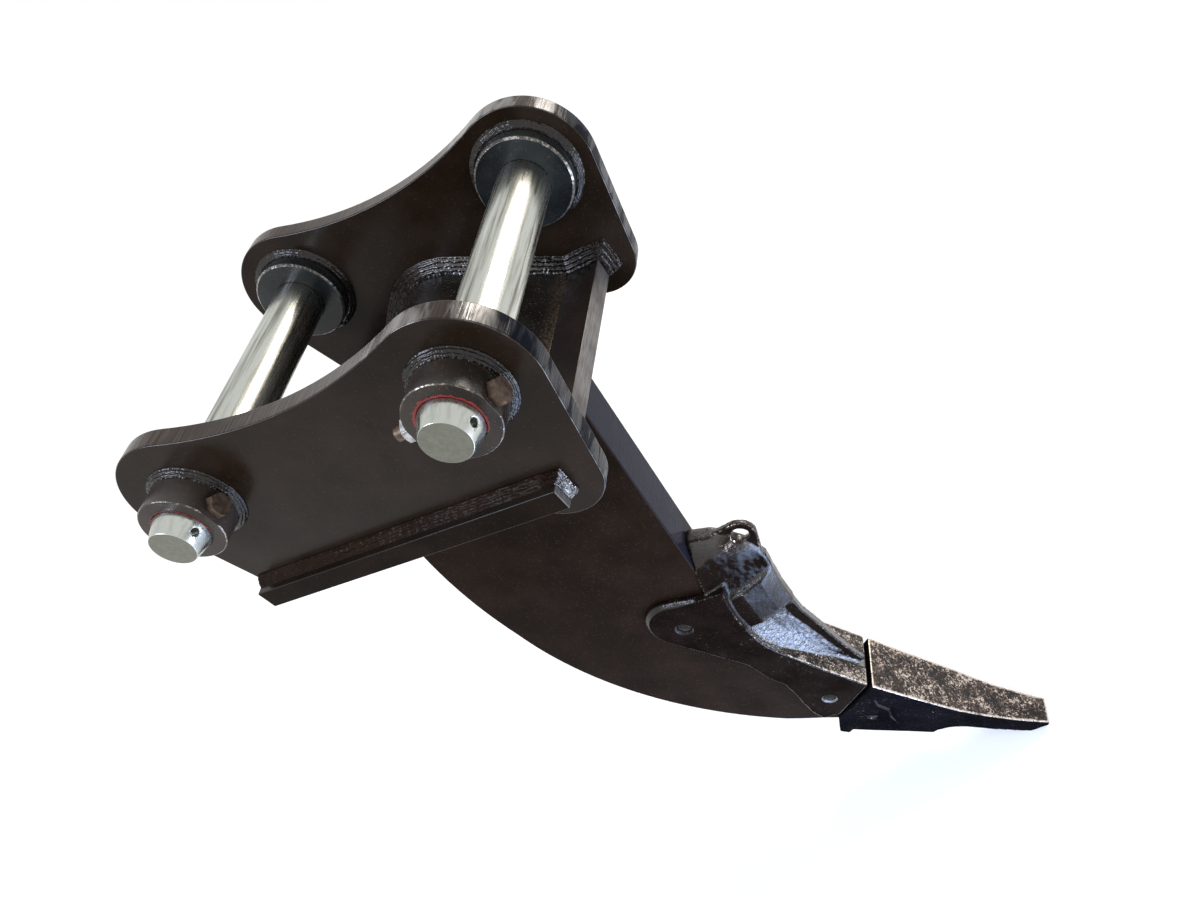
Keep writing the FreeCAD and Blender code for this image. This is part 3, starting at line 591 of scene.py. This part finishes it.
def ripple_tree():
    """Lifts a bead's surface into curved ripples along its length and ridges between its
    passes, which wander over 9 mm, with low lumps under them."""
    tree, given = skin_tree("weld ripples", ("Ripple spacing", "Ripple height", "Passes",
                                             "Pass height", "Lump size", "Lump height"))
    along = add_node(tree, "GeometryNodeInputNamedAttribute", {"Name": "along"})
    across = add_node(tree, "GeometryNodeInputNamedAttribute", {"Name": "across"})
    here = add_node(tree, "GeometryNodeInputPosition")
    wander = add_node(tree, "TexNoise",
                      {"Vector": here, "W": given["Seed"], "Scale": 110.0, "Detail": 2.0},
                      noise_dimensions="4D")
    row = add_node(tree, "Math", {0: across, 1: given["Passes"]}, operation="MULTIPLY")
    wobble = add_node(tree, "Math", {0: wander, 1: 0.9, 2: row}, operation="MULTIPLY_ADD")
    steps = add_node(tree, "Math", {0: along, 1: given["Ripple spacing"]}, operation="DIVIDE")
    middle = add_node(tree, "Math", {0: across, 1: 0.5}, operation="SUBTRACT")
    bow = add_node(tree, "Math", {0: middle, 1: middle}, operation="MULTIPLY")
    row_number = add_node(tree, "Math", {0: wobble}, operation="FLOOR")
    staggered = add_node(tree, "Math", {0: row_number, 1: 0.37, 2: steps}, operation="MULTIPLY_ADD")
    bowed = add_node(tree, "Math", {0: bow, 1: 4.0, 2: staggered}, operation="MULTIPLY_ADD")
    phase = add_node(tree, "Math", {0: wander, 1: 4.5, 2: bowed}, operation="MULTIPLY_ADD")
    ridges = []
    for count in (wobble, phase):
        turn = add_node(tree, "Math", {0: count, 1: math.pi}, operation="MULTIPLY")
        wave = add_node(tree, "Math", {0: turn}, operation="SINE")
        ridges.append(add_node(tree, "Math", {0: wave}, operation="ABSOLUTE"))
    row_height = add_node(tree, "Math", {0: ridges[0], 1: given["Pass height"]},
                          operation="MULTIPLY")
    ripple = add_node(tree, "Math", {0: ridges[1], 1: given["Ripple height"], 2: row_height},
                      operation="MULTIPLY_ADD")
    lump = add_node(tree, "Math",
                    {0: lumpy(tree, given, "Lump size", 3.0), 1: given["Lump height"],
                     2: ripple}, operation="MULTIPLY_ADD")
    raise_skin(tree, given, lump)
    return tree


def tree_on(piece, tree, values):
    """A geometry tree on the piece with its inputs set by name, worked into the mesh."""
    modifier = piece.modifiers.new(tree.name, "NODES")
    modifier.node_group = tree
    for item in tree.interface.items_tree:
        if item.in_out == "INPUT" and item.name in values:
            modifier[item.identifier] = values[item.name]
    plain_mesh(piece)


END_BLEND = 0.012


def weld_bead(node, along, voxel, ripple, passes, lump, seed, material, end_from=None):
    """The CAD fillet as a rippled bead. along gives the points' places on its length; ripple
    is spacing and height, passes number and height, lump size and height. A bead's end past
    the X end_from is rounded off, fully from END_BLEND on."""
    low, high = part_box(node)
    near, far = sorted((abs(low.y), abs(high.y)))
    bead = remade(node, "bead", voxel, 8)
    at = rows_of(bead.data, "co")
    if end_from is not None:
        ends = bead.vertex_groups.new(name="end")
        for i in np.nonzero(at[:, 0] > end_from)[0]:
            ends.add([int(i)], min((at[i, 0] - end_from) / END_BLEND, 1.0), "REPLACE")
        soft = bead.modifiers.new("rounded end", "SMOOTH")
        soft.iterations = 50
        soft.vertex_group = "end"
        plain_mesh(bead)
        at = rows_of(bead.data, "co")
    give_attribute(bead.data, "along", along(at))
    if far - near > 0.001:
        across = (np.abs(at[:, 1]) - near) / (far - near)
    else:
        across = (at[:, 2] - low.z) / (high.z - low.z)
    give_attribute(bead.data, "across", np.clip(across, 0, 1))
    tree_on(bead, weld_ripples, {"Ripple spacing": ripple[0], "Ripple height": ripple[1],
                                 "Passes": float(passes[0]), "Pass height": passes[1],
                                 "Lump size": lump[0], "Lump height": lump[1],
                                 "Seed": float(seed), "Material": material})
    place(bead, node)


# Enamel run thick over the welds is wetter than on the plates, and glints on every ripple.
weld_ripples = ripple_tree()
weld_enamel = enamel("black enamel over weld", "#120f0d", "#231c18", dust=0.15,
                     sheen=(0.42, 0.42), roughness=(0.08, 0.2), lumps=0.0006)
BOSS_RADIUS = 0.0588
for end, (pin_x, pin_z) in PIN_CENTRES.items():
    for side in ("left", "right"):
        def round_pin(at, pin_x=pin_x, pin_z=pin_z):
            """Places along a bead that runs round the pin."""
            return np.arctan2(at[:, 2] - pin_z, at[:, 0] - pin_x) * BOSS_RADIUS

        seed = 10 + 2 * (end == "front") + (side == "left")
        for ring, voxel, ring_seed in (("outer", 0.0012, seed), ("inner", 0.0015, seed + 4)):
            weld_bead(f"{end}_{ring}_boss_weld_{side}", round_pin, voxel,
                      ripple=(0.0052, 0.0006), passes=(3, 0.0014), lump=(0.012, 0.0024),
                      seed=ring_seed, material=weld_enamel)


# Seam welds: heavy fillets along both sides of each ear's foot, on the base plate outside
# and over the cover plate inside, built up by hand in several passes.

def crumbled(material, x_from, x_to):
    """Broken, glinting skin where a seam's end was built up in short dabs of 9 mm."""
    tree, shader, place_at = opened(material)
    along = add_node(tree, "SeparateXYZ", {0: place_at})
    ending = add_node(tree, "MapRange",
                      {"Value": along.outputs["X"], "From Min": x_from, "From Max": x_to})
    dabs = add_node(tree, "TexNoise",
                    {"Vector": place_at, "Scale": per_metre(9), "Detail": 2.0, "Distortion": 1.6})
    bump = add_node(tree, "Bump",
                    {"Height": dabs, "Distance": 0.01, "Strength": ending,
                     "Normal": fed_by(shader, "Normal")})
    feed(tree, shader, {"Normal": bump})


# The outer seams are dull along their length and glint on the ends that face forward.
seam_enamel = enamel("black enamel over outer seams", "#20160f", "#2b1f17", dust=0.15,
                     sheen=(0.04, 0.04), roughness=(0.09, 0.18))
tree, shader, place_at = opened(seam_enamel)
seam_end = add_node(tree, "MapRange",
                    {"Value": facing(tree)["X"], "From Min": 0.3, "From Max": 0.6,
                     "To Min": 0.04, "To Max": 2.6})
feed(tree, shader, {"Specular IOR Level": seam_end})
crumbled(seam_enamel, x_from=0.455, x_to=0.466)

# The inner seams glint over the cover's crown and on their ends, and are dull elsewhere.
inner_enamel = enamel("black enamel over inner seams", "#15110e", "#2a211b", dust=0.2,
                      sheen=(0.5, 0.5), roughness=(0.08, 0.2), lumps=0.0005)
tree, shader, place_at = opened(inner_enamel)
along = add_node(tree, "SeparateXYZ", {0: place_at})
crown_start = add_node(tree, "MapRange",
                       {"Value": along.outputs["X"], "From Min": 0.19, "From Max": 0.25,
                        "To Min": 0.16, "To Max": 1.1})
crown_stop = add_node(tree, "MapRange",
                      {"Value": along.outputs["X"], "From Min": 0.4, "From Max": 0.44,
                       "To Min": 1.1, "To Max": 0.2})
crown = add_node(tree, "Math", {0: crown_start, 1: crown_stop}, operation="MINIMUM")
wrap = add_node(tree, "MapRange",
                {"Value": facing(tree)["X"], "From Min": 0.6, "From Max": 0.8, "To Max": 1.6})
glint = add_node(tree, "Math", {0: crown, 1: wrap}, operation="MAXIMUM")
feed(tree, shader, {"Specular IOR Level": glint})
crumbled(inner_enamel, x_from=0.47, x_to=0.482)

SEAM_TURN = BASE_TOP + 0.004                    # below this the outer seam runs down its end
CROWN_X, CROWN_Z, CROWN_RADIUS = 0.24, -0.25, 0.19      # arc that the inner seam follows
for side in ("left", "right"):
    weld_bead(f"outer_seam_weld_{side}",
              lambda at: at[:, 0] - np.minimum(at[:, 2] - SEAM_TURN, 0),
              0.0015, ripple=(0.006, 0.0003), passes=(3, 0.0007), lump=(0.01, 0.003),
              seed=31, material=seam_enamel, end_from=0.462)
    weld_bead(f"inner_seam_weld_{side}",
              lambda at: np.arctan2(at[:, 2] - CROWN_Z, at[:, 0] - CROWN_X) * CROWN_RADIUS,
              0.0015, ripple=(0.006, 0.0007), passes=(4, 0.0018), lump=(0.012, 0.0034),
              seed=32, material=inner_enamel, end_from=0.466)


# Shank: one thick flame-cut plate, bent forward to the nose that the tip sits on.
# It is welded under the base plate with a wide fillet all the way round.

SHANK_MIDDLE = 0.2          # X that the shank's weld runs round
shank = joined("shank", "painted")
ease_edges(shank, 0.003)
# The shank's edges streak in brown and blue-grey. The blue-grey tones are painted shade, darkest on
# the edge that faces forward.
place(shank, "shank",
      flame_cut(enamel("black enamel, shank", "#211812", "#2a1f18", dust=0.12,
                       sheen=(0.01, 0.06)),
                0.0003, ("#2a1f18", "#202027", "#1f1f29"), 0.6))
weld_bead("shank_weld",
          lambda at: np.arctan2(at[:, 1], at[:, 0] - SHANK_MIDDLE) * SHANK_MIDDLE, 0.0026,
          ripple=(0.009, 0.0009), passes=(3, 0.001), lump=(0.02, 0.004), seed=35,
          material=weld_enamel)


# Shank protector: steel casting over the shank's front edge, with its lifting eye.
# Soft cast corners and a pebbled sand-cast skin; earth has worn its lands and corners, and the
# corners' brightness is partly painted highlight lines.

def corner_measure(mesh, spread=2):
    """How sharply the surface turns out at each vertex, averaged over its neighbours."""
    at, normals = rows_of(mesh, "co"), rows_of(mesh, "normal")
    ends = np.zeros(len(mesh.edges) * 2, np.int64)
    mesh.edges.foreach_get("vertices", ends)
    a, b = ends.reshape(-1, 2).T
    step = at[b] - at[a]
    turn = ((normals[b] - normals[a]) * step).sum(1) / np.maximum((step ** 2).sum(1), 1e-12)
    count = np.bincount(a, minlength=len(at)) + np.bincount(b, minlength=len(at))
    value = (np.bincount(a, turn, len(at)) + np.bincount(b, turn, len(at))) / np.maximum(count, 1)
    for _ in range(spread):
        value = 0.5 * value + 0.5 * (np.bincount(a, value[b], len(at))
                                     + np.bincount(b, value[a], len(at))) / np.maximum(count, 1)
    return value


def ramp(values, start, stop, least=0.0):
    """Goes from 0 to 1 as the values go from start to stop, and stays over least."""
    return np.clip((values - start) / (stop - start), least, 1)


def cast_skin_tree():
    """Raises a casting's skin into pebbles over slow waves, as strong as its "pebbled" mark."""
    tree, given = skin_tree("cast skin", ("Pebble size", "Pebble height", "Wave size",
                                          "Wave height"))
    strength = add_node(tree, "GeometryNodeInputNamedAttribute", {"Name": "pebbled"})
    pebbles, waves = [add_node(tree, "Math",
                               {0: lumpy(tree, given, f"{form} size", 2.0),
                                1: given[f"{form} height"]}, operation="MULTIPLY")
                      for form in ("Pebble", "Wave")]
    height = add_node(tree, "Math", {0: pebbles, 1: strength, 2: waves}, operation="MULTIPLY_ADD")
    raise_skin(tree, given, height)
    return tree


# The casting's enamel is glossiest in the scoop and on the hood's lit plane, where it shows
# pebbles of 7.5 mm and grinding marks; its cheeks are dull.
casting_enamel = rub_through(enamel("black enamel on casting", "#17110d", "#241c17", dust=0.15,
                                    sheen=(0.0, 0.7), roughness=(0.14, 0.28), lumps=0.0009),
                             "#52473d", "#c0b4a8")
SCOOP_TOP, SCOOP_FULL = -0.84, -0.88        # heights between which the scoop's polish grows
HOOD_LOW, HOOD_HIGH = -0.8, -0.77           # and those of the hood's polish
HOOD_NEAR, HOOD_MIDDLE = -0.03, 0.0         # the hood is duller on its near side
tree, shader, place_at = opened(casting_enamel)
at_axis = add_node(tree, "SeparateXYZ", {0: place_at}).outputs
scoop = add_node(tree, "MapRange",
                 {"Value": at_axis["Z"], "From Min": SCOOP_TOP, "From Max": SCOOP_FULL,
                  "To Min": 0.0, "To Max": 3.4})
hood = add_node(tree, "MapRange",
                {"Value": at_axis["Y"], "From Min": HOOD_NEAR, "From Max": HOOD_MIDDLE,
                 "To Min": 0.35, "To Max": 1.1})
hood_top = add_node(tree, "MapRange",
                    {"Value": at_axis["Z"], "From Min": HOOD_LOW, "From Max": HOOD_HIGH,
                     "To Min": 1.0, "To Max": 1.7})
hood_polish = add_node(tree, "Math", {0: hood, 1: hood_top}, operation="MULTIPLY")
polish = add_node(tree, "Math", {0: scoop, 1: hood_polish}, operation="MAXIMUM")
worn = add_node(tree, "Attribute", attribute_name="worn").outputs["Fac"]
scuffed = add_node(tree, "MapRange",
                   {"Value": worn, "From Min": -0.15, "From Max": 0.15, "To Min": 1.0,
                    "To Max": 0.12})
kept_polish = add_node(tree, "Math", {0: polish, 1: scuffed}, operation="MULTIPLY")
level = add_node(tree, "Math",
                 {0: fed_by(shader, "Specular IOR Level"), 1: kept_polish}, operation="MULTIPLY")
marks = add_node(tree, "TexNoise",
                 {"Vector": place_at, "Scale": per_metre(7.5), "Detail": 2.0, "Distortion": 1.4})
ground = add_node(tree, "Mapping",
                  {"Vector": place_at, "Rotation": (math.radians(40), 0.0, 0.0),
                   "Scale": [per_metre(grain) for grain in (16.67, 2, 16.67)]})
ground_marks = add_node(tree, "TexNoise", {"Vector": ground, "Scale": 1.0, "Detail": 2.0})
ground_bump = add_node(tree, "Bump",
                       {"Height": ground_marks, "Distance": 0.0006, "Strength": 0.5,
                        "Normal": fed_by(shader, "Normal")})
pebbled = add_node(tree, "Attribute", attribute_name="pebbled").outputs["Fac"]
pebble_bump = add_node(tree, "Bump",
                       {"Height": marks, "Distance": 0.0032, "Strength": pebbled,
                        "Normal": ground_bump})
feed(tree, shader, {"Specular IOR Level": level, "Normal": pebble_bump})
shader.inputs["Specular IOR Level"].default_value = 0.35        # left when the link drops

cast_skin = cast_skin_tree()
protector = remade("protector", "cast", 0.0024, 6)
x, y, z = rows_of(protector.data, "co").T
out_x, out_y, out_z = rows_of(protector.data, "normal").T
# Corners worn bright: part real wear, part painted highlight lines along the lip and crest.
corners = ramp(corner_measure(protector.data), 35, 115)
LANDS_TOP, LANDS_FULL = -0.93, -0.99        # heights between which the lands start
RIDGE_HALF = 0.014                          # the ridge between the lands is left out
EYE_FOOT_X, EYE_FOOT_Z, EYE_FOOT_REACH = 0.47, -0.655, 0.03
lands = (ramp(z, LANDS_TOP, LANDS_FULL) * ramp(np.abs(out_y), 0.45, 0.3)
         * ramp(np.abs(y), RIDGE_HALF, RIDGE_HALF + 0.006) * ramp(out_x + out_z, 0.5, 0.9))
eye_foot = ramp(np.hypot(x - EYE_FOOT_X, z - EYE_FOOT_Z), EYE_FOOT_REACH, 0)
give_attribute(protector.data, "worn",
               np.clip(corners * (0.45 + 0.5 * lands) + lands * 0.6 + 0.5 * eye_foot, 0, 1)
               - 0.2)
give_attribute(protector.data, "pebbled", ramp(out_x + 0.5 * out_z, 0.1, 0.35, least=0.12)
               * ramp(z, -0.8, -0.86, least=0.3))
tree_on(protector, cast_skin, {"Pebble size": 0.0085, "Pebble height": 0.0016,
                               "Wave size": 0.03, "Wave height": 0.0016, "Seed": 5.0,
                               "Material": casting_enamel})
place(protector, "protector")


# Tip: hardened steel casting driven over the shank's nose. Earth has worn its top to brown
# metal with specks of paint left in the hollows, and its corners bright, which doubles as painted
# highlight lines.

UP_SLOPE, UP_RISE = 0.72, 0.69      # X and Z of the way the tip's top faces
tip_casting = rub_through(enamel("black enamel on worn tip", "#0e0d0e", "#171517", dust=0.15,
                                 sheen=(0.0, 0.0), roughness=(0.14, 0.3), lumps=0.0006),
                          "#5a4b41", "#d3c6b9")
tree, shader, place_at = opened(tip_casting)
upward = add_node(tree, "VectorMath",
                  {0: add_node(tree, "NewGeometry").outputs["Normal"],
                   1: (UP_SLOPE, 0.0, UP_RISE)}, operation="DOT_PRODUCT")
tip_gloss = add_node(tree, "MapRange",
                     {"Value": upward, "From Min": 0.25, "From Max": 0.6, "To Max": 0.3})
feed(tree, shader, {"Specular IOR Level": tip_gloss})
shader.inputs["Specular IOR Level"].default_value = 0.1         # left when the link drops
tip = remade("tip", "cast", 0.0019, 6)
x, y, z = rows_of(tip.data, "co").T
out_x, out_y, out_z = rows_of(tip.data, "normal").T
# Bright corners: part real wear, part painted highlight lines along the top's edges.
corners = ramp(corner_measure(tip.data), 25, 85)
out_up = UP_SLOPE * out_x + UP_RISE * out_z
height = UP_SLOPE * x + UP_RISE * z
STRIP_WIDTH = 0.006
strip = np.round((UP_RISE * x - UP_SLOPE * z + 1.0) / STRIP_WIDTH).astype(int)
highest = np.full(strip.max() + 1, -np.inf)
np.maximum.at(highest, strip, height)
near_top = ramp(height - highest[strip], -0.016, -0.01)     # keeps wear off the flanks
top = ramp(out_up, 0.72, 0.92)
turned_up = ramp(out_up, 0.42, 0.62)
give_attribute(tip.data, "worn",
               np.clip(corners * turned_up * near_top * 1.2 + top * 0.57, 0, 1.1) - 0.2)
give_attribute(tip.data, "pebbled", 0.35 + 0.4 * top)
tree_on(tip, cast_skin, {"Pebble size": 0.009, "Pebble height": 0.0016, "Wave size": 0.05,
                         "Wave height": 0.0018, "Seed": 9.0, "Material": tip_casting})
place(tip, "tip")


# Lock pins: short domed steel plugs, driven in to hold the protector and the tip.
# They are oiled dark steel, hammered round at the ends.

pin_steel = hardware("oiled dark steel", "#161412", "#2a2623", 0.0, 0.14)
pin_steel.node_tree.nodes["Principled BSDF"].inputs["Specular IOR Level"].default_value = 0.12
DOME_STEP, DOME_RISES = 0.0026, (0.0014, 0.0009, 0.0004)
for name in ("wing_lock_pin", "cheek_lock_pin", "tip_lock_pin"):
    plug = joined(name, "oiled")
    shape = bmesh.new()
    shape.from_mesh(plug.data)
    ends = [face for face in shape.faces if abs(face.normal.y) > 0.99 and len(face.verts) > 12]
    for rise in DOME_RISES:
        bmesh.ops.inset_individual(shape, faces=ends, thickness=DOME_STEP, depth=rise)
    shape.to_mesh(plug.data)
    shape.free()
    plug.data.polygons.foreach_set("use_smooth", [True] * len(plug.data.polygons))
    ease_edges(plug, 0.001)
    place(plug, name, pin_steel)


# Stage: pale floor under the ripper, soft lamps round it, white surroundings.
# The camera stands where the photo was taken.

def area_lamp(name, location, target, size, power, colour):
    """A soft lamp of that width and height, aimed at a point and not seen itself."""
    data = bpy.data.lights.new(name, "AREA")
    data.shape = "RECTANGLE"
    data.size, data.size_y = size
    data.energy = power
    data.color = linear(colour)[:3]
    lamp = put_in_scene(name, data)
    lamp.location = location
    lamp.visible_camera = False
    lamp.rotation_mode = "QUATERNION"
    lamp.rotation_quaternion = (Vector(target) - Vector(location)).to_track_quat("-Z", "Y")


def background_rays(tree):
    """1 for the camera's, mirrored and see-through rays, which show the background white."""
    ray = add_node(tree, "LightPath").outputs
    seen = add_node(tree, "Math",
                    {0: ray["Is Camera Ray"], 1: ray["Is Glossy Ray"]}, operation="MAXIMUM")
    return add_node(tree, "Math", {0: seen, 1: ray["Is Transmission Ray"]}, operation="MAXIMUM")


area_lamp("lamp_behind", (1.7, 1.8, 0.95), (0.45, 0.0, -0.1), (1.2, 1.2), 42, "#fff4e8")
area_lamp("lamp_left", (-0.75, -1.55, 1.5), (0.3, 0.0, -0.1), (0.9, 0.9), 32, "#dce6ff")
area_lamp("lamp_low", (0.68, -0.62, -1.28), (0.47, 0.0, -0.85), (1.0, 0.34), 7.5, "#a4c6ff")
area_lamp("lamp_right", (1.45, -0.5, -0.88), (0.49, -0.05, -0.19), (0.9, 0.6), 12, "#cfe0ff")

world = bpy.data.worlds.new("studio")
bpy.context.scene.world = world
world.use_nodes = True
sky = world.node_tree
sky.nodes.clear()
strength = add_node(sky, "MapRange", {"Value": background_rays(sky), "To Min": 0.6, "To Max": 1.0})
glow = add_node(sky, "Background", {"Color": linear("#ffffff"), "Strength": strength})
add_node(sky, "OutputWorld", {"Surface": glow})

FLOOR_REACH = 14
floor_z = cad_low.z - 0.0005
floor_mesh = bpy.data.meshes.new("floor")
floor_mesh.from_pydata([(x * FLOOR_REACH, y * FLOOR_REACH, floor_z)
                        for x, y in ((-1, -1), (1, -1), (1, 1), (-1, 1))], [], [(0, 1, 2, 3)])
floor = put_in_scene("floor", floor_mesh)
pale = bpy.data.materials.new("pale studio floor")
pale.use_nodes = True
tree = pale.node_tree
tree.nodes.clear()
matt = add_node(tree, "BsdfDiffuse", {"Color": linear("#f2f2f2")})
away = add_node(tree, "VectorMath",
                {0: add_node(tree, "TexCoord").outputs["Object"],
                 1: (0.5, 0.0, floor_z)}, operation="DISTANCE")
open_floor = add_node(tree, "MapRange",
                      {"Value": away, "From Min": 0.5, "From Max": 2.4, "To Min": 0.24,
                       "To Max": 0.5})
lift = add_node(tree, "Math", {0: background_rays(tree), 1: open_floor}, operation="MULTIPLY")
lit = add_node(tree, "Emission", {"Color": linear("#ffffff"), "Strength": lift})
add_node(tree, "OutputMaterial", {"Surface": add_node(tree, "AddShader", {0: matt, 1: lit})})
floor_mesh.materials.append(pale)
floor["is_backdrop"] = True

camera_data = bpy.data.cameras.new("camera")
camera_data.sensor_width = 36.0
camera_data.sensor_fit = "HORIZONTAL"
camera_data.lens = 27.9922
camera_data.shift_x = -0.008357
camera_data.shift_y = 0.019618
camera_data.clip_start = 0.05
camera_data.clip_end = 60.0
camera = put_in_scene("camera", camera_data)
camera.matrix_world = Matrix(((0.840674, 0.290652, 0.456934, 1.0632),
                              (0.102236, 0.743413, -0.660973, -1.00272),
                              (-0.531803, 0.602378, 0.595253, 0.47999),
                              (0.0, 0.0, 0.0, 1.0)))
bpy.context.scene.camera = camera
bpy.context.scene.view_settings.view_transform = "Standard"

low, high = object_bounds()
